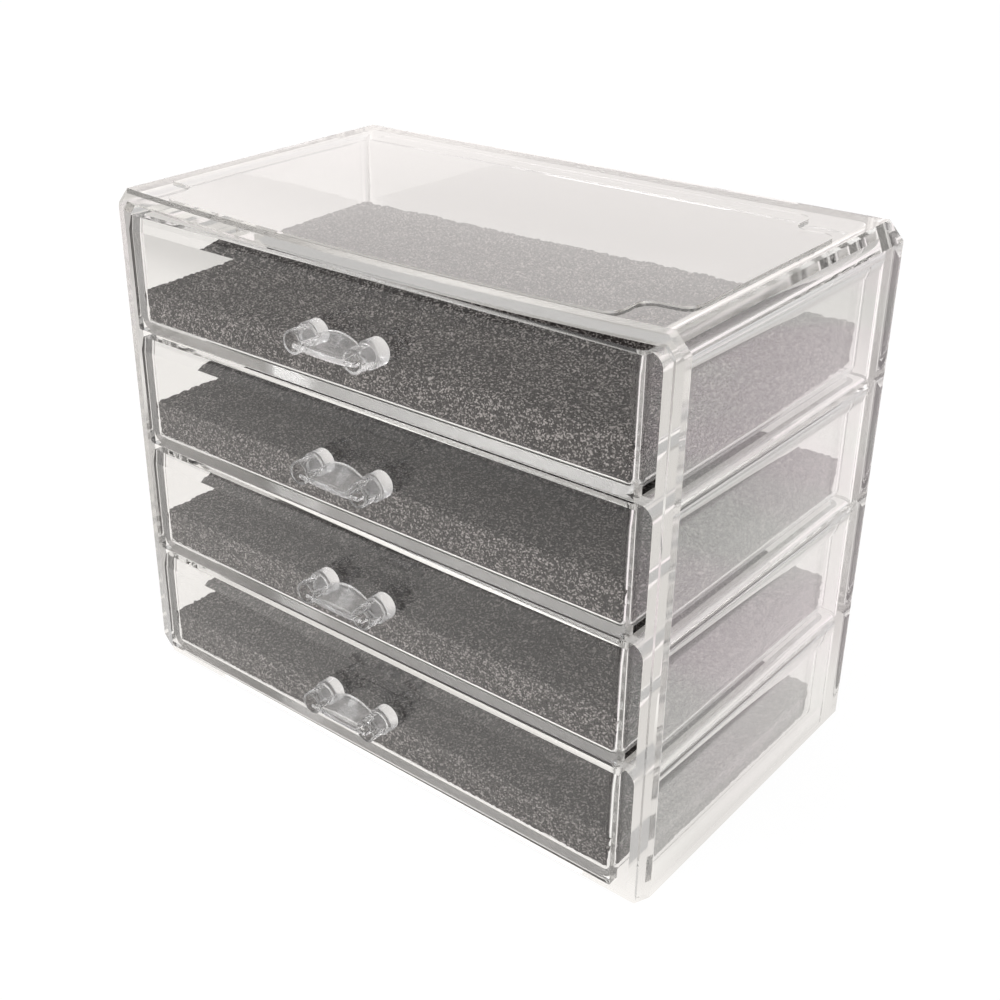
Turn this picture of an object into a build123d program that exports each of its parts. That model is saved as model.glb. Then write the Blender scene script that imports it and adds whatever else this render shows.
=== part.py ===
from build123d import *
import os

# Clear moulded organizer: a one-piece case with shelves, and four drawers that slide out at the
# front. Each drawer has a foam liner and a bow handle fixed to its front.
# Frame: X to the right, Y from the front (negative) to the back, Z up. The origin is the middle of
# the footprint, on the surface that the case stands on. Millimetres.

# ---- drawers: number and stacking ----
drawer_count = 4
front_height = 43.2          # height of a drawer's front
front_gap = 3.5              # gap between one front and the next
rest_gap = 0.3               # running clearance under each drawer

# ---- case ----
case_width = 238.0
case_depth = 131.0
side_wall = 5.7
top_wall = 6.0
floor_wall = 3.2
back_wall = 3.0
shelf_thickness = 3.0
shelf_setback = 5.0          # the shelves' front edges lie this far behind the case's front
ceiling_gap = 0.3            # extra height over the top drawer
corner_cut_side = 5.5        # long corner bevels of the case: width
corner_cut_rise = 6.0        # and height
front_edge_bevel = 1.3       # outer edge of the front frame
mouth_bevel = 1.7            # inner edge of the front frame
mouth_corner_side = 2.8      # bevels in the mouth's two upper corners: width
mouth_corner_rise = 3.5      # and height
bay_corner_radius = 4.0      # rear corners of each bay
bay_right_step = 4.9         # behind the mouth, the bays' right side stands this far inward
bay_top_radius = 5.0         # upper right corner of each bay
front_sag = 2.6              # how far the top sinks at the middle of the open front

# ---- raised panel on the top, cut back at its corners ----
panel_rise = 0.8
panel_side_margin = 9.3
panel_front_margin = 1.6
panel_back_margin = 14.0
panel_notch_side = 15.6
panel_notch_depth = 15.0
panel_corner_radius = 5.0

# ---- drawer moulding ----
front_left_gap = 0.3         # the drawers run close to the left side
front_right_gap = 8.7        # and leave this much of the mouth free at the right
front_thickness = 4.5
front_bevel_depth = 1.4      # bevel along a front's upper edge: depth
front_bevel_height = 5.0     # and height
tray_back_gap = 1.5          # behind the closed tray
tray_wall = 2.0
tray_floor = 2.0
tray_rim_drop = 0.2          # the side and rear walls end this far below the front's top
tray_corner_radius = 4.6     # rear corners and lower edges

# ---- foam liner ----
liner_thickness = 15.2
liner_clearance = 0.3        # to the tray's walls
liner_lift = 0.1             # to the tray's floor
liner_back_gap = 2.8         # open strip behind the liner
liner_corner_cut = 1.6       # upright corners
liner_lower_cut = 2.4        # lower edges

# ---- bow handle: two hollow posts and an arched strap ----
handle_offset = -0.2         # from the middle of the drawer's front
handle_height = 21.5         # its centre, over the drawer's underside
post_spacing = 26.4
post_length = 13.6
post_radius = 4.2
post_wall = 0.9
post_bore_depth = 8.0
collar_radius = 4.9
collar_length = 5.6
strap_thickness = 1.5
strap_front_inset = 1.0      # behind the posts' ends
strap_back_gap = 1.2         # in front of the drawer's face
strap_front_arch = 1.1
strap_back_arch = 2.6
strap_back_rise = 1.9        # the strap's rear edge starts this far above the posts' centres
strap_steps = 10             # flats along the strap's arch

# ---- sizes that follow ----
drawer_pitch = front_height + front_gap
ceiling = floor_wall + rest_gap + drawer_count * drawer_pitch + ceiling_gap
case_height = ceiling + top_wall
mouth_width = case_width - 2 * side_wall
front_width = mouth_width - front_left_gap - front_right_gap
drawer_middle = (front_left_gap - front_right_gap) / 2
tray_height = front_height - tray_rim_drop
front_plane = -case_depth / 2
back_plane = case_depth / 2
tray_back = back_plane - back_wall - tray_back_gap


def drawer_base(level):
    """Height of a drawer's underside, with level 0 at the bottom."""
    return floor_wall + rest_gap + level * drawer_pitch


def section(y, half_width, low, high, low_cut, high_cut, sag):
    """Closed outline at depth y, with bevelled corners and a top edge that sags in the middle."""
    corners = [
        (-half_width + low_cut[0], low), (half_width - low_cut[0], low),
        (half_width, low + low_cut[1]), (half_width, high - high_cut[1]),
        (half_width - high_cut[0], high), (-half_width + high_cut[0], high),
        (-half_width, high - high_cut[1]), (-half_width, low + low_cut[1]),
    ]
    points = [Vector(x, y, z) for x, z in corners]
    edges = []
    for i, start in enumerate(points):
        end = points[(i + 1) % len(points)]
        if (end - start).length < 1e-6:
            continue
        if i == 4 and sag > 0:
            edges.append(Edge.make_three_point_arc(start, Vector(0, y, high - sag), end))
        else:
            edges.append(Edge.make_line(start, end))
    return Wire(edges)


def sag_at(y):
    """The sag fades out evenly from the open front to the back."""
    return front_sag * (back_plane - y) / case_depth


def case_section(y, inset, sag):
    cut = (corner_cut_side, corner_cut_rise)
    return section(y, case_width / 2 - inset, inset, case_height - inset, cut, cut, sag)


def mouth_section(y, grow, sag):
    cut = (mouth_corner_side, mouth_corner_rise)
    return section(y, mouth_width / 2 + grow, floor_wall - grow, ceiling + grow, (0, 0), cut, sag)


def outer_shell():
    bevel_end = front_plane + front_edge_bevel
    nose = Solid.make_loft([case_section(front_plane, front_edge_bevel, front_sag),
                            case_section(bevel_end, 0, sag_at(bevel_end))], ruled=True)
    body = Solid.make_loft([case_section(bevel_end, 0, sag_at(bevel_end)),
                            case_section(back_plane, 0, 0)], ruled=True)
    return nose + body


def raised_panel(shell):
    """Thin raised area that follows the top, with its four corners cut back in smooth steps."""
    half = case_width / 2 - panel_side_margin
    front = front_plane + panel_front_margin
    back = back_plane - panel_back_margin
    inner = half - panel_notch_side
    right = [(inner, front), (inner, front + panel_notch_depth), (half, front + panel_notch_depth),
             (half, back - panel_notch_depth), (inner, back - panel_notch_depth), (inner, back)]
    left = [(-x, y) for x, y in reversed(right)]
    outline = make_face(Polyline(*right, *left, close=True))
    outline = fillet(outline.vertices(), panel_corner_radius)
    prism = extrude(Pos(0, 0, case_height / 2) * outline, amount=case_height)
    return Pos(0, 0, panel_rise) * shell & prism


def bay_prism(low, high):
    """Room for one drawer behind the shelves' front edges, rounded at the rear corners."""
    depth = case_depth - shelf_setback - back_wall
    left, right = -mouth_width / 2, mouth_width / 2 - bay_right_step
    plan = Pos((left + right) / 2, 0) * Rectangle(right - left, depth)
    plan = fillet(plan.vertices().group_by(Axis.Y)[-1], bay_corner_radius)
    middle = front_plane + shelf_setback + depth / 2
    room = extrude(Pos(0, middle, low) * plan, amount=high - low)
    radius = bay_top_radius
    corner = low + drawer_pitch - shelf_thickness
    block = Pos(right - radius / 2, middle, corner - radius / 2) * Box(radius, depth, radius)
    hollow = Cylinder(radius, 2 * depth, rotation=(90, 0, 0))
    return room - (block - Pos(right - radius, middle, corner - radius) * hollow)


def mouth_cut():
    """Open front of the case: a bevelled entry, then the full mouth up to the shelves."""
    bevel_end = front_plane + mouth_bevel
    shelf_front = front_plane + shelf_setback
    entry = Solid.make_loft([mouth_section(front_plane, mouth_bevel, front_sag),
                             mouth_section(bevel_end, 0, sag_at(bevel_end))], ruled=True)
    mouth = Solid.make_loft([mouth_section(bevel_end, 0, sag_at(bevel_end)),
                             mouth_section(shelf_front, 0, sag_at(shelf_front))], ruled=True)
    return entry + mouth


def bays():
    """The four bays, the top one under the sagging ceiling."""
    solids = []
    for level in range(drawer_count):
        low = drawer_base(level) - rest_gap
        if level < drawer_count - 1:
            solids.append(bay_prism(low, low + drawer_pitch - shelf_thickness))
        else:
            room = Solid.make_loft([mouth_section(front_plane, 0, front_sag),
                                    mouth_section(back_plane, 0, 0)], ruled=True)
            solids.append(bay_prism(low, case_height) & room)
    return solids


def case_body():
    shell = outer_shell()
    body = shell + raised_panel(shell) - mouth_cut()
    for bay in bays():
        body = body - bay
    return body


def tray_outside(low):
    """Block behind the front, flush with its ends, with soft rear corners and lower edges."""
    front = front_plane + front_thickness - tray_wall
    depth = tray_back - front
    plan = Rectangle(front_width, depth)
    plan = fillet(plan.vertices().group_by(Axis.Y)[-1], tray_corner_radius)
    block = extrude(Pos(0, front + depth / 2, low) * plan, amount=tray_height)
    edges = block.faces().sort_by(Axis.Z)[0].edges().sort_by(Axis.Y)[1:]
    return fillet(edges, tray_corner_radius * 0.999)


def tray_inside(low):
    """Room in the drawer, rounded at its upright corners and lower edges."""
    front = front_plane + front_thickness
    depth = tray_back - tray_wall - front
    radius = tray_corner_radius - tray_wall
    plan = fillet(Rectangle(front_width - 2 * tray_wall, depth).vertices(), radius)
    block = extrude(Pos(0, front + depth / 2, low + tray_floor) * plan, amount=front_height)
    return fillet(block.faces().sort_by(Axis.Z)[0].edges(), radius * 0.999)


def drawer_tray(level):
    low = drawer_base(level)
    inner_front = front_plane + front_thickness
    bevel_top = front_height - front_bevel_height
    side_view = Polyline((front_plane, 0), (inner_front, 0), (inner_front, front_height),
                         (front_plane + front_bevel_depth, front_height), (front_plane, bevel_top),
                         close=True)
    face = Plane.YZ.offset(-front_width / 2) * make_face(side_view)
    front = Pos(0, 0, low) * extrude(face, amount=front_width)
    return Pos(drawer_middle, 0, 0) * (front + tray_outside(low) - tray_inside(low))


def eight_sided(width, depth, cut, z):
    """Rectangle with its corners cut off, as a closed outline at height z."""
    x, y = width / 2, depth / 2
    corners = [(-x + cut, -y), (x - cut, -y), (x, -y + cut), (x, y - cut),
               (x - cut, y), (-x + cut, y), (-x, y - cut), (-x, -y + cut)]
    return Wire.make_polygon([Vector(px, py, z) for px, py in corners], close=True)


def foam_liner(level):
    """Flat pad that fills the drawer's floor."""
    low = drawer_base(level) + tray_floor + liner_lift
    width = front_width - 2 * tray_wall - 2 * liner_clearance
    front = front_plane + front_thickness + liner_clearance
    depth = tray_back - tray_wall - liner_back_gap - front
    inset = 2 * liner_lower_cut
    outlines = [eight_sided(width - inset, depth - inset, liner_corner_cut, 0),
                eight_sided(width, depth, liner_corner_cut, liner_lower_cut),
                eight_sided(width, depth, liner_corner_cut, liner_thickness)]
    pad = Solid.make_loft(outlines, ruled=True)
    return Pos(drawer_middle, front + depth / 2, low) * pad


def handle_post(x, z):
    """Hollow post with a wider collar on the drawer's face, turned about its own axis."""
    bore = post_radius - post_wall
    profile = make_face(Polyline(
        (0, 0), (collar_radius, 0), (collar_radius, collar_length), (post_radius, collar_length),
        (post_radius, post_length), (bore, post_length), (bore, post_length - post_bore_depth),
        (0, post_length - post_bore_depth), close=True))
    turned = revolve(profile, Axis.Y, 360)
    return Pos(x, front_plane, z) * Rot(0, 0, 180) * turned


def strap_section(y, reach, low, arch):
    """Outline of the strap at depth y: an arch of short flats with square ends."""
    count = strap_steps
    steps = [2 * i / count - 1 for i in range(count + 1)]
    under = [Vector(reach * s, y, low + arch * (1 - s * s)) for s in steps]
    over = [point + Vector(0, 0, strap_thickness) for point in reversed(under)]
    return Wire.make_polygon(under + over, close=True)


def bow_handle(level):
    centre_z = drawer_base(level) + handle_height
    reach = post_spacing / 2
    start = centre_z - strap_thickness / 2
    strap = Solid.make_loft([
        strap_section(front_plane - post_length + strap_front_inset, reach, start,
                      strap_front_arch),
        strap_section(front_plane - strap_back_gap, reach, start + strap_back_rise,
                      strap_back_arch)], ruled=True)
    handle = strap + handle_post(-reach, centre_z) + handle_post(reach, centre_z)
    bore = Cylinder(post_radius - post_wall, post_bore_depth, rotation=(90, 0, 0))
    middle = front_plane - post_length + post_bore_depth / 2
    for side in (-1, 1):
        handle = handle - Pos(side * reach, middle, centre_z) * bore
    return Pos(drawer_middle + handle_offset, 0, 0) * handle


def save(shape, name):
    solids = shape.solids()
    export_step(solids[0] if len(solids) == 1 else shape, f"parts/{name}.step")


os.makedirs("parts", exist_ok=True)
save(case_body(), "case_body")
for level in range(drawer_count):
    number = drawer_count - level          # drawer 1 is the top one
    save(drawer_tray(level), f"drawer_tray_{number}")
    save(foam_liner(level), f"foam_liner_{number}")
    save(bow_handle(level), f"bow_handle_{number}")
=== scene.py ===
# %% [markdown]
# # Clear drawer organizer
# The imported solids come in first, at their real size and in metres. Everything below is either a
# finish for one of them, or a piece that takes the place of a plain stand-in.

# %% Load the frame
import bpy
import bmesh
import numpy as np
from math import cos, radians, sin, tau
from mathutils import Matrix, Vector


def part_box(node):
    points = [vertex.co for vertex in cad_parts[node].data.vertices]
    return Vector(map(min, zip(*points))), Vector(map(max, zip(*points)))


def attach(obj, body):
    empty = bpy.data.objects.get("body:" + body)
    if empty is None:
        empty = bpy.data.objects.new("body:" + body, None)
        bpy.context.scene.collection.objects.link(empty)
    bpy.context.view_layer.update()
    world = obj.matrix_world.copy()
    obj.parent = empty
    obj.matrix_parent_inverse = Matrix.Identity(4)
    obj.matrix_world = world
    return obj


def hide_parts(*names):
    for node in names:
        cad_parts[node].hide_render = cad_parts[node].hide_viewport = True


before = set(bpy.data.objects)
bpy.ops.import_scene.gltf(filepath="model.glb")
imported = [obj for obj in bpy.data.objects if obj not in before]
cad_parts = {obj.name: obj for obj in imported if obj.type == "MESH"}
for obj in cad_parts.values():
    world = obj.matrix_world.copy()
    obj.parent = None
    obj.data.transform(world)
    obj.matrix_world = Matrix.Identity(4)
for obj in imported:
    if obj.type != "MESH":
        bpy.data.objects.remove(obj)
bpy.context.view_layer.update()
drawer_numbers = (1, 2, 3, 4)

# %% [markdown]
# ## Camera
# The photograph was solved for the point that it was taken from. The camera is set there by its own
# three axes, with the lens that gives the same perspective. The picture was cropped off its centre,
# so the lens is shifted by as much.

# %% Camera
PICTURE_WIDTH = 1000.0
FOCAL_PIXELS = 1397.6
AXIS_PIXEL = (411.9, 463.0)
SENSOR = 36.0

azimuth, elevation, roll = radians(41.63), radians(25.98), radians(-0.87)
to_camera = Vector((sin(azimuth) * cos(elevation), -cos(azimuth) * cos(elevation), sin(elevation)))
level_right = to_camera.cross(Vector((0, 0, -1))).normalized()
level_up = to_camera.cross(level_right)
camera_right = cos(roll) * level_right + sin(roll) * level_up
camera_up = to_camera.cross(camera_right)

camera = bpy.data.objects.new("Camera", bpy.data.cameras.new("Camera"))
bpy.context.scene.collection.objects.link(camera)
camera.matrix_world = Matrix.Translation((0.2889, -0.3659, 0.3257)) @ Matrix(
    (camera_right, camera_up, to_camera)).transposed().to_4x4()
camera.data.sensor_width = SENSOR
camera.data.lens = SENSOR * FOCAL_PIXELS / PICTURE_WIDTH
camera.data.shift_x = (PICTURE_WIDTH / 2 - AXIS_PIXEL[0]) / PICTURE_WIDTH
camera.data.shift_y = (AXIS_PIXEL[1] - PICTURE_WIDTH / 2) / PICTURE_WIDTH
camera.data.clip_start, camera.data.clip_end = 0.01, 20
bpy.context.scene.camera = camera
print("lens:", round(camera.data.lens, 2), "mm")

# %% [markdown]
# ## Shader maths as expressions
# A pattern is easier to read as `mask * 0.2 + 0.5` than as a chain of boxes. `Wire` wraps one
# socket, and each operator adds its Math node. `Finish` holds a material and makes every other node
# by one method: its type, its settings, then its sockets.


# %% Helpers for shaders
class Wire:
    """One output socket, with operators that add Math nodes."""

    def __init__(self, finish, socket):
        self.finish, self.socket = finish, socket

    def math(self, operation, *others):
        return self.finish.node("ShaderNodeMath", {"operation": operation}, 0, self, *others)

    def __add__(self, other):
        return self.math("ADD", other)

    __radd__ = __add__

    def __sub__(self, other):
        return self.math("SUBTRACT", other)

    def __rsub__(self, other):
        return self.finish.node("ShaderNodeMath", {"operation": "SUBTRACT"}, 0, other, self)

    def __mul__(self, other):
        return self.math("MULTIPLY", other)

    __rmul__ = __mul__

    def ramp(self, low, high, start=0.0, end=1.0):
        """Goes smoothly from start to end as the value goes from low to high."""
        return self.finish.node("ShaderNodeMapRange", {"interpolation_type": "SMOOTHSTEP"}, 0,
                                self, low, high, start, end)


class Finish:
    """A material and the one way to add nodes to it."""

    def __init__(self, name):
        self.material = bpy.data.materials.new(name)
        self.material.use_nodes = True
        self.tree = self.material.node_tree
        self.tree.nodes.clear()
        self.output = self.tree.nodes.new("ShaderNodeOutputMaterial")

    def node(self, kind, settings=None, result=0, *inputs, **named):
        made = self.tree.nodes.new(kind)
        for key, value in (settings or {}).items():
            setattr(made, key, value)
        for key, value in [*enumerate(inputs), *named.items()]:
            socket = made.inputs[key.replace("_", " ") if isinstance(key, str) else key]
            if isinstance(value, Wire):
                self.tree.links.new(value.socket, socket)
            elif value is not None:
                socket.default_value = value
        return Wire(self, made.outputs[result])

    def place(self):
        """Object coordinates: metres in the object's own frame."""
        return self.node("ShaderNodeTexCoord", None, "Object")

    def axis(self, name):
        return self.node("ShaderNodeSeparateXYZ", None, name, self.place())

    def show(self, shader):
        self.tree.links.new(shader.socket, self.output.inputs["Surface"])
        return self.material


def give(object_, material):
    """One material over the whole object."""
    object_.data.materials.clear()
    object_.data.materials.append(material)


print("helpers ready")

# %% [markdown]
# ## Clear moulded plastic
# Polished plastic bends light much as glass does, so a transmissive shader at its refractive index
# gives the bright edges and doubled lines by itself. The plastic takes a little light on the way:
# nothing across a wall, but a good part along it, which makes the edges pale grey, not white. Lamps
# must still reach the foam inside, so rays that only carry light pass straight through.

# %% Clear plastic
PLASTIC_INDEX = 1.49
LOSS_PER_METRE = 1.1
PLASTIC_LOSS = (0.15, 0.155, 0.17)      # the share of red, green and blue, beside each other
CLEAR = (0.99, 0.99, 0.99, 1)
CLEAR_DEPTH = 4.5       # surfaces that a view crosses before the plastic turns slightly rough
CARRIED_LIGHT = (0.97, 0.97, 0.97, 1)
FROST_COLOUR, FROST_ROUGHNESS, FROST_CLEAR = (0.9, 0.9, 0.91, 1), 0.5, 0.75


def clear_plastic(name, waviness, frost=None):
    """Polished plastic; frost makes the share of a rough, whitish surface, from 0 to 1."""
    finish = Finish(name)
    depth = finish.node("ShaderNodeLightPath", None, "Ray Depth")
    polished = finish.node("ShaderNodeBsdfPrincipled", None, "BSDF", Base_Color=CLEAR,
                           Roughness=depth.math("GREATER_THAN", CLEAR_DEPTH) * waviness,
                           IOR=PLASTIC_INDEX, Transmission_Weight=1.0)
    if frost is not None:
        rough = finish.node("ShaderNodeBsdfPrincipled", None, "BSDF", Base_Color=FROST_COLOUR,
                            Roughness=FROST_ROUGHNESS, IOR=PLASTIC_INDEX,
                            Transmission_Weight=FROST_CLEAR)
        polished = finish.node("ShaderNodeMixShader", None, 0, frost(finish), polished, rough)
    shadow = finish.node("ShaderNodeLightPath", None, "Is Shadow Ray")
    spread = finish.node("ShaderNodeLightPath", None, "Is Diffuse Ray")
    through = finish.node("ShaderNodeBsdfTransparent", None, "BSDF", CARRIED_LIGHT)
    carried = shadow.math("MAXIMUM", spread)
    loss = finish.node("ShaderNodeVolumeAbsorption", None, 0,
                       (*(1 - part for part in PLASTIC_LOSS), 1),
                       LOSS_PER_METRE / max(PLASTIC_LOSS))
    finish.tree.links.new(loss.socket, finish.output.inputs["Volume"])
    return finish.show(finish.node("ShaderNodeMixShader", None, 0, carried, polished, through))


case_plastic = clear_plastic("case_clear_plastic", 0.09)
drawer_plastic = clear_plastic("drawer_clear_plastic", 0.07)
give(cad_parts["case_body"], case_plastic)
for number in drawer_numbers:
    give(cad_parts[f"drawer_tray_{number}"], drawer_plastic)
print("clear plastic on the case and the drawers")

# %% [markdown]
# ## New meshes
# Every detailed piece is worked out as a list of points and the faces between them.

# %% Making a mesh
def new_object(name, points, faces, material):
    mesh = bpy.data.meshes.new(name)
    mesh.from_pydata(np.asarray(points).tolist(), [], [list(face) for face in faces])
    mesh.polygons.foreach_set("use_smooth", [True] * len(mesh.polygons))
    made = bpy.data.objects.new(name, mesh)
    bpy.context.scene.collection.objects.link(made)
    give(made, material)
    return made


def net_faces(rows, columns):
    """Four-sided faces of a net whose columns close round."""
    i, j = np.meshgrid(np.arange(rows - 1), np.arange(columns), indexing="ij")
    beside = (j + 1) % columns
    return np.stack([i * columns + j, i * columns + beside, (i + 1) * columns + beside,
                     (i + 1) * columns + j], axis=-1).reshape(-1, 4)


def round_corners(corners, radii, steps=6):
    """An outline through corners, each rounded by its radius with a short arc."""
    corners = [np.array(corner, float) for corner in corners]
    points = []
    for k, corner in enumerate(corners):
        radius = radii[k]
        before, after = corners[k - 1], corners[(k + 1) % len(corners)]
        if radius == 0:
            points.append(corner)
            continue
        back = (before - corner) / np.linalg.norm(before - corner)
        ahead = (after - corner) / np.linalg.norm(after - corner)
        for t in np.linspace(0, 1, steps):
            first, last = corner + back * radius, corner + ahead * radius
            points.append((1 - t) ** 2 * first + 2 * t * (1 - t) * corner + t ** 2 * last)
    return np.array(points)


print("mesh helpers ready")

# %% [markdown]
# ## Bow handles
# A handle is two hollow posts with thick frosted rings at the drawer's face, and a thin scoop
# between them that rises towards the face. Each is turned or swept in fine steps and the three are
# joined, so that light bends through them as through one moulding.

# %% Bow handles
MM = 0.001
POST_REACH = 13.2
POST_LENGTH = 12.5
POST_RADIUS = 4.2
BORE_RADIUS = 3.2
BORE_FLOOR = 5.0
COLLAR_RADIUS = 4.85
COLLAR_LENGTH = 5.5
FACE_GAP = 0.05
SCOOP_FRONT, SCOOP_REAR = 11.9, 4.2
SCOOP_ROUND = 0.55
AROUND = 96             # points round a post
HANDLE_MIDDLE = 4.9     # the posts' axis over the foot of the plain handle's box
# the first share is a faint whitish frost over the scoop, a painted sheen for the light it reflects
# from above; the second is the collars' frost
SCOOP_SHEEN, COLLAR_FROST = 0.2, 0.26


def post_mesh(middle_x):
    """A post: a rounded profile of (radius, distance from the face), turned about its own axis."""
    corners = [(COLLAR_RADIUS, FACE_GAP), (COLLAR_RADIUS, COLLAR_LENGTH),
               (POST_RADIUS, COLLAR_LENGTH + 0.25), (POST_RADIUS, POST_LENGTH),
               (BORE_RADIUS + 0.1, POST_LENGTH), (BORE_RADIUS, BORE_FLOOR)]
    profile = round_corners([(0, FACE_GAP), *corners, (0, BORE_FLOOR)],
                            [0, 0.25, 0.2, 0.15, 0.35, 0.3, 0.6, 0])
    around = np.linspace(0, tau, AROUND, endpoint=False)
    radius, out = profile[1:-1, 0], profile[1:-1, 1]
    ring = np.stack([middle_x + np.outer(radius, np.cos(around)),
                     np.outer(out, np.ones(AROUND)), np.outer(radius, np.sin(around))], axis=-1)
    ends = [[middle_x, FACE_GAP, 0], [middle_x, BORE_FLOOR, 0]]
    points = np.concatenate([ring.reshape(-1, 3), ends])
    faces = net_faces(len(radius), AROUND).tolist()
    first, last = len(points) - 2, len(points) - 1
    start = (len(radius) - 1) * AROUND
    faces += [[first, (j + 1) % AROUND, j] for j in range(AROUND)]
    faces += [[last, start + j, start + (j + 1) % AROUND] for j in range(AROUND)]
    return points, faces


def scoop_mesh():
    """The thin piece between the posts: a flat rounded section carried along x, which rises
    towards the face by a parabola that is 1 in the middle and 0 at the posts."""
    edge = SCOOP_ROUND
    deep = SCOOP_FRONT - SCOOP_REAR
    outline = []
    for t in np.linspace(0, 1, 40):
        outline.append((t, 1))
    for angle in np.linspace(0, np.pi, 12)[1:-1]:
        outline.append((1 + edge / deep * sin(angle), cos(angle)))
    for t in np.linspace(1, 0, 40):
        outline.append((t, -1))
    for angle in np.linspace(np.pi, tau, 12)[1:-1]:
        outline.append((edge / deep * sin(angle), cos(angle)))
    outline = np.array(outline)
    rows = []
    for x in np.linspace(-POST_REACH, POST_REACH, 81):
        bow = 1 - (x / POST_REACH) ** 2
        t = np.clip(outline[:, 0], 0, 1)
        rise = t ** 1.4
        middle = (1 - rise) * (-1.3 - 0.25 * bow) + rise * (-2.2 + 6.0 * bow)
        thick = 0.85 + 0.45 * bow * (1 - t)
        out = SCOOP_FRONT - outline[:, 0] * deep
        up = middle + outline[:, 1] * thick
        rows.append(np.stack([np.full(len(outline), x), out, up], axis=-1))
    points = np.concatenate(rows)
    count = len(outline)
    faces = net_faces(len(rows), count).tolist()
    faces += [list(range(count))[::-1], list(range(len(points) - count, len(points)))]
    return points, faces


def placed(points, number):
    """From (x, distance from the face, z), in millimetres, to a drawer's own handle."""
    low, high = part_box(f"bow_handle_{number}")
    x, out, z = np.asarray(points).T * MM
    middle = (low[0] + high[0]) / 2
    return np.stack([middle + x, high[1] - out, low[2] + HANDLE_MIDDLE * MM + z], axis=-1)


def outward(made):
    """Turns every face of a closed mesh to look outward."""
    form = bmesh.new()
    form.from_mesh(made.data)
    bmesh.ops.recalc_face_normals(form, faces=form.faces)
    form.to_mesh(made.data)
    form.free()


def joined(base, others):
    """One closed mesh out of pieces that run into each other."""
    for other in others:
        modifier = base.modifiers.new("join", "BOOLEAN")
        modifier.operation, modifier.object, modifier.solver = "UNION", other, "EXACT"
    shape = base.evaluated_get(bpy.context.evaluated_depsgraph_get())
    mesh = bpy.data.meshes.new_from_object(shape)
    base.modifiers.clear()
    base.data = mesh
    for other in others:
        bpy.data.objects.remove(other)
    base.data.set_sharp_from_angle(angle=radians(32))
    return base


def collar_frost_and_scoop_sheen(finish):
    """The thick rings by the drawer's face are frosted; the scoop's faint whitish frost is a
    painted sheen, for light from above.
    """
    low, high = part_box("bow_handle_1")
    from_middle = (finish.axis("X") - (low[0] + high[0]) / 2).math("ABSOLUTE")
    edge = (POST_REACH - COLLAR_RADIUS) * MM
    on_post = from_middle.ramp(edge - 0.3 * MM, edge)
    start = high[1] - COLLAR_LENGTH * MM
    on_collar = finish.axis("Y").ramp(start - 0.1 * MM, start + 0.1 * MM, 0.0, COLLAR_FROST)
    return on_post * on_collar + (1 - on_post) * SCOOP_SHEEN


def bow_handle(number, material):
    shapes = (scoop_mesh(), post_mesh(-POST_REACH), post_mesh(POST_REACH))
    base, *others = [new_object(f"handle_shape_{number}", placed(points, number), faces, material)
                     for points, faces in shapes]
    for piece in (base, *others):
        outward(piece)
    handle = joined(base, others)
    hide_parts(f"bow_handle_{number}")
    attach(handle, f"drawer_{number}")
    return handle


handle_plastic = clear_plastic("handle_clear_plastic", 0.0, frost=collar_frost_and_scoop_sheen)
handles = [bow_handle(number, handle_plastic) for number in drawer_numbers]
print("handles:", [len(handle.data.polygons) for handle in handles], "faces each")

# %% [markdown]
# ## Foam pads
# Each pad is a slab of open-cell foam, cut with a slightly ragged edge. It takes the place of the
# plain slab from the frame. Its surface is a fine net of points, most of them pushed in by up to
# about a millimetre, and the top pad doesn't lie quite flat.

# %% Foam pads
FOAM_DARK, FOAM_SPECK = (0.032, 0.0285, 0.0272, 1), (0.43, 0.395, 0.378, 1)
CELLS_PER_METRE = 2000


def foam_finish():
    """Dark foam whose cells catch the light as pale specks."""
    finish = Finish("liner_foam")
    place = finish.place()
    cell = finish.node("ShaderNodeTexVoronoi", None, "Color", place,
                       Scale=CELLS_PER_METRE)
    chance = finish.node("ShaderNodeSeparateColor", None, 0, cell)
    patch = finish.node("ShaderNodeTexNoise", None, "Fac", place, Scale=60, Detail=3)
    tone = finish.node("ShaderNodeMix", {"data_type": "RGBA"}, 2,
                       chance.ramp(0.58, 1.0) * patch.ramp(0.2, 0.8, 0.7, 1.0))
    for socket, colour in zip(tone.socket.node.inputs[6:8], (FOAM_DARK, FOAM_SPECK)):
        socket.default_value = colour
    body = finish.node("ShaderNodeBsdfPrincipled", None, "BSDF", Base_Color=tone, Roughness=0.95,
                       Specular_IOR_Level=0.0)
    return finish.show(body)


def box_lattice(counts):
    """Points on the surface of a box, as whole numbers, and the four-sided faces between them."""
    quads = []
    for flat in range(3):
        along, across = [axis for axis in range(3) if axis != flat]
        i, j = np.meshgrid(np.arange(counts[along]), np.arange(counts[across]), indexing="ij")
        for end in (0, counts[flat]):
            corners = np.zeros((i.size, 4, 3), int)
            corners[:, :, flat] = end
            for corner, (di, dj) in enumerate(((0, 0), (1, 0), (1, 1), (0, 1))):
                corners[:, corner, along] = i.ravel() + di
                corners[:, corner, across] = j.ravel() + dj
            faces_out = (end > 0) == (flat != 1)
            quads.append(corners if faces_out else corners[:, ::-1])
    corners = np.concatenate(quads).reshape(-1, 3)
    points, index = np.unique(corners, axis=0, return_inverse=True)
    return points, index.reshape(-1, 4)


PAD_STEP = 0.0012
PAD_EDGE = 0.0008       # rounding of the upper edges
PAD_FOOT = 0.0025       # and of the lower ones, which follow the drawer's own
PAD_PRESS = 0.0002      # wider than the plain slab at the sides and front, but off the walls
CELL_DEPTH = 0.0009
# how far the top of each pad stands over the plain slab's top: front left, front right, rear left,
# rear right; and how far its rear right corner is lifted off the drawer's floor
PAD_TOPS = {1: (-0.0020, 0.0004, 0.0008, 0.0030), 2: (0, 0, 0, 0), 3: (0, 0, 0, 0), 4: (0, 0, 0, 0)}
PAD_LIFTS = {1: 0.0025, 2: 0, 3: 0, 4: 0}


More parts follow.
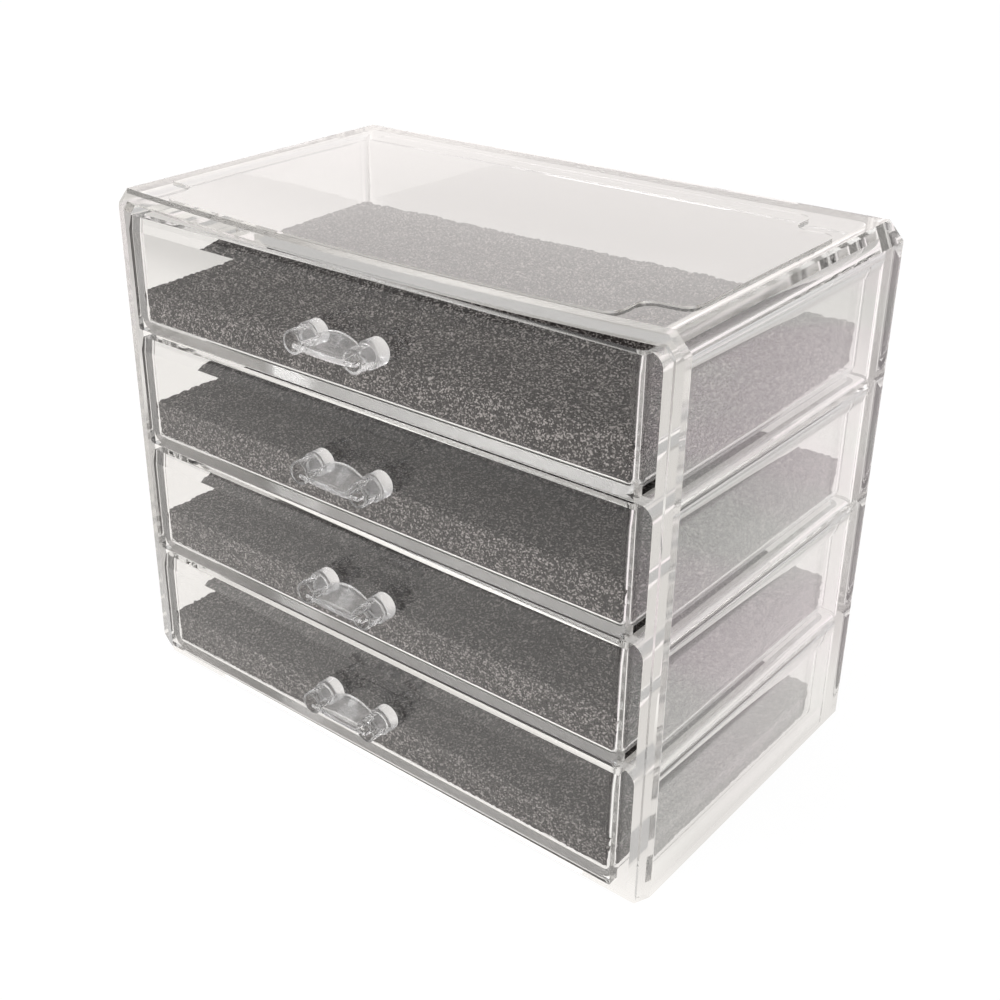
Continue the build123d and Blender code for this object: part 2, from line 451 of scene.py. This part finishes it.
def foam_pad(number, material):
    random = np.random.default_rng(40 + number)
    low, high = (np.array(corner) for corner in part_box(f"foam_liner_{number}"))
    low[:2] -= PAD_PRESS
    high[0] += PAD_PRESS
    size = high - low
    counts = np.maximum(2, np.round(size / PAD_STEP)).astype(int)
    lattice, faces = box_lattice(counts)
    half = size / 2
    points = lattice / counts * size - half
    edge = np.where(points[:, 2:] < 0, PAD_FOOT, PAD_EDGE)
    core = np.clip(points, -(half - edge), half - edge)
    out = points - core
    out /= np.linalg.norm(out, axis=1, keepdims=True)
    points = core + edge * out
    points += out * random.uniform(-1, 0.1, (len(points), 1)) * CELL_DEPTH
    right, back, up = ((points[:, axis] / size[axis] + 0.5) for axis in range(3))
    tops = PAD_TOPS[number]
    top = ((1 - right) * (1 - back) * tops[0] + right * (1 - back) * tops[1]
           + (1 - right) * back * tops[2] + right * back * tops[3])
    lift = PAD_LIFTS[number] * np.clip(right + back - 1, 0, 1) ** 2
    points[:, 2] += up * top + (1 - up) * lift
    pad = new_object(f"foam_pad_{number}", points + (low + high) / 2, faces, material)
    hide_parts(f"foam_liner_{number}")
    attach(pad, f"drawer_{number}")
    return pad


foam = foam_finish()
pads = [foam_pad(number, foam) for number in drawer_numbers]
print("foam pads:", [len(pad.data.polygons) for pad in pads], "faces each")

# %% [markdown]
# ## Floor, lights and world
# The picture has a white ground. A real studio is not even, and clear plastic shows that, so for
# rays reflected in or seen through the plastic the floor has its own strength behind the object,
# to its left, in front and to its right. Those strengths were set by average tones to suit the
# photograph's view, and they are the studio's, not the object's.

# %% Studio
def seen_ray(finish):
    """1 for a ray from the camera, reflected or through plastic, 0 for one that carries light."""
    def kind(name):
        return finish.node("ShaderNodeLightPath", None, name)
    return kind("Is Camera Ray").math("MAXIMUM", kind("Is Glossy Ray")).math(
        "MAXIMUM", kind("Is Transmission Ray"))


GROUND_TINT = (1.0, 0.97, 0.935)
# how bright the plastic shows the ground, part by part
GROUND_FAR, GROUND_BEHIND, GROUND_LEFT = 0.56, 0.8, 1.05
GROUND_CLOSE, GROUND_AHEAD, GROUND_RIGHT = 1.1, 0.85, 1.16


def studio_floor():
    finish = Finish("studio_floor")
    plain = finish.node("ShaderNodeBsdfDiffuse", None, "BSDF", (0.86, 0.86, 0.86, 1))
    white = finish.node("ShaderNodeEmission", None, 0, (1, 1, 1, 1), 1.08)
    direct = finish.node("ShaderNodeMixShader", None, 0, 0.88, plain, white)
    x, y = finish.axis("X"), finish.axis("Y")

    def shade(strength, tint=GROUND_TINT):
        return finish.node("ShaderNodeEmission", None, 0, (*tint, 1), strength)

    def either(share, first, second):
        return finish.node("ShaderNodeMixShader", None, 0, share, first, second)

    behind = either(y.ramp(0.35, 0.55), shade(GROUND_BEHIND), shade(GROUND_FAR))
    back = either(x.ramp(-0.10, -0.15) * y.ramp(0.31, 0.24), behind, shade(GROUND_LEFT))
    front = either(y.ramp(-0.12, -0.34), shade(GROUND_CLOSE), shade(GROUND_AHEAD))
    # a trace of colour on the ground to the right, for the tints that moulded plastic shows
    patch = finish.node("ShaderNodeTexNoise", None, "Fac", finish.place(), Scale=9, Detail=1)
    right = either(patch.ramp(0.4, 0.62), shade(GROUND_RIGHT, (1.0, 0.915, 0.93)),
                   shade(GROUND_RIGHT, (0.965, 0.95, 0.92)))
    mirrored = either(x.ramp(0.121, 0.135), either(y.ramp(-0.02, -0.1), back, front), right)
    camera_ray = finish.node("ShaderNodeLightPath", None, "Is Camera Ray")
    seen = finish.node("ShaderNodeMixShader", None, 0, camera_ray, mirrored, direct)
    return finish.show(finish.node("ShaderNodeMixShader", None, 0, seen_ray(finish), plain, seen))


bpy.ops.mesh.primitive_plane_add(size=6)
floor = bpy.context.object
floor.name = "floor"
give(floor, studio_floor())

SKY_TINT = (1, 0.99, 0.98, 1)
SKY_LIGHT, SKY_WHITE = 0.6, 1.08        # on the object, and behind it in the picture


def studio_sky():
    world = bpy.data.worlds.new("studio")
    bpy.context.scene.world = world
    world.use_nodes = True
    tree = world.node_tree
    light, path, mix = tree.nodes["Background"], *(
        tree.nodes.new(kind) for kind in ("ShaderNodeLightPath", "ShaderNodeMixShader"))
    white = tree.nodes.new("ShaderNodeBackground")
    light.inputs["Color"].default_value = SKY_TINT
    light.inputs["Strength"].default_value = SKY_LIGHT
    white.inputs["Strength"].default_value = SKY_WHITE
    white.inputs["Color"].default_value = (1, 1, 1, 1)
    tree.links.new(path.outputs["Is Camera Ray"], mix.inputs[0])
    tree.links.new(light.outputs[0], mix.inputs[1])
    tree.links.new(white.outputs[0], mix.inputs[2])
    tree.links.new(mix.outputs[0], tree.nodes["World Output"].inputs["Surface"])


studio_sky()


def area_light(name, place, target, size, power, on_matt=True, mirrored=True):
    """A rectangular lamp: on_matt lights matt surfaces, and mirrored lets shiny ones show it.
    It shows through clear plastic only where both are on."""
    data = bpy.data.lights.new(name, "AREA")
    data.shape, data.size, data.size_y = "RECTANGLE", size[0], size[1]
    data.energy = power
    lamp = bpy.data.objects.new(name, data)
    bpy.context.scene.collection.objects.link(lamp)
    lamp.location = place
    lamp.rotation_euler = (Vector(target) - Vector(place)).to_track_quat("-Z", "Y").to_euler()
    lamp.visible_diffuse = on_matt
    lamp.visible_glossy = mirrored
    lamp.visible_transmission = on_matt and mirrored
    data.color = (1, 1, 1) if on_matt else (1, 0.93, 0.91)
    return lamp


area_light("key", (-0.7, -0.9, 0.9), (0, 0, 0.1), (0.5, 0.5), 3.4)
area_light("front", (-0.1, -1.1, 0.18), (0, 0, 0.1), (0.25, 0.2), 3.6, mirrored=False)
area_light("back", (-0.95, 1.05, 0.9), (0, 0, 0.2), (2.2, 1.7), 14.6, on_matt=False)
print("studio ready")

# %% [markdown]
# ## Render settings
# A view crosses many surfaces of clear plastic before it ends, so the number of bounces is high.

# %% Render settings
scene = bpy.context.scene
scene.view_settings.view_transform = "Standard"
scene.cycles.max_bounces = 160
scene.cycles.transmission_bounces = 160
scene.cycles.transparent_max_bounces = 64
scene.cycles.glossy_bounces = 160
scene.cycles.diffuse_bounces = 4
scene.cycles.use_denoising = True
print("bounces:", scene.cycles.max_bounces)
